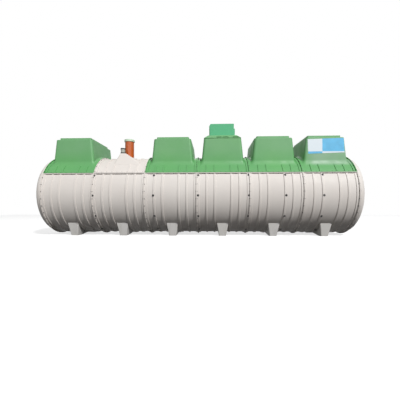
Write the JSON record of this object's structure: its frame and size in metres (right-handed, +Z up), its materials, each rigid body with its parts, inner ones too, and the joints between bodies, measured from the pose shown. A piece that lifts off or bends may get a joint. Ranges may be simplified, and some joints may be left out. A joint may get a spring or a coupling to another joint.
{
  "type": "packaged sewage treatment plant",
  "caption": "Long horizontal moulded tank of bolted ring sections on saddle feet, with tapered access risers, lids, a blower housing and an upright inlet pipe.",
  "frame": {"origin": "ground level under the middle of the tank", "axes": "+Z up, +X along the tank away from the inlet, -Y towards the side with the boss"},
  "size_m": [6.854, 1.704, 2.434],
  "materials": {
    "grey_grp": "pale warm grey glass-reinforced plastic",
    "green_grp": "mid green glass-reinforced plastic with a soft sheen",
    "green_lid": "mid green moulded lid with a soft sheen",
    "housing_grp": "bluish green moulded housing",
    "saddle_grp": "grey moulded saddle",
    "orange_pipe": "terracotta orange drain pipe",
    "cap_plastic": "pale green push-on cap",
    "stub_plastic": "grey pipe stub",
    "dark_rubber": "dark rubber band"
  },
  "bodies": {
    "root": {"lower_shell_1": "grey_grp", "upper_shell_1": "green_grp", "saddle_1": "saddle_grp", "riser_lid_1": "green_lid", "lower_shell_2": "grey_grp", "upper_shell_2": "grey_grp", "saddle_2": "saddle_grp", "lower_shell_3": "grey_grp", "upper_shell_3": "green_grp", "saddle_3": "saddle_grp", "riser_lid_3": "green_lid", "lower_shell_4": "grey_grp", "upper_shell_4": "green_grp", "saddle_4": "saddle_grp", "riser_lid_4": "green_lid", "lower_shell_5": "grey_grp", "upper_shell_5": "green_grp", "saddle_5": "saddle_grp", "riser_lid_5": "green_lid", "lower_shell_6": "grey_grp", "upper_shell_6": "green_grp", "saddle_6": "saddle_grp", "riser_lid_6": "green_lid", "end_cap_left": "grey_grp", "end_cap_right": "grey_grp", "blower_housing": "housing_grp", "housing_cover": "housing_grp", "inlet_pipe": "orange_pipe", "inlet_pipe_cap": "cap_plastic", "vent_stub": "stub_plastic", "stub_band_lower": "dark_rubber", "stub_band_upper": "dark_rubber"}
  },
  "joints": []
}
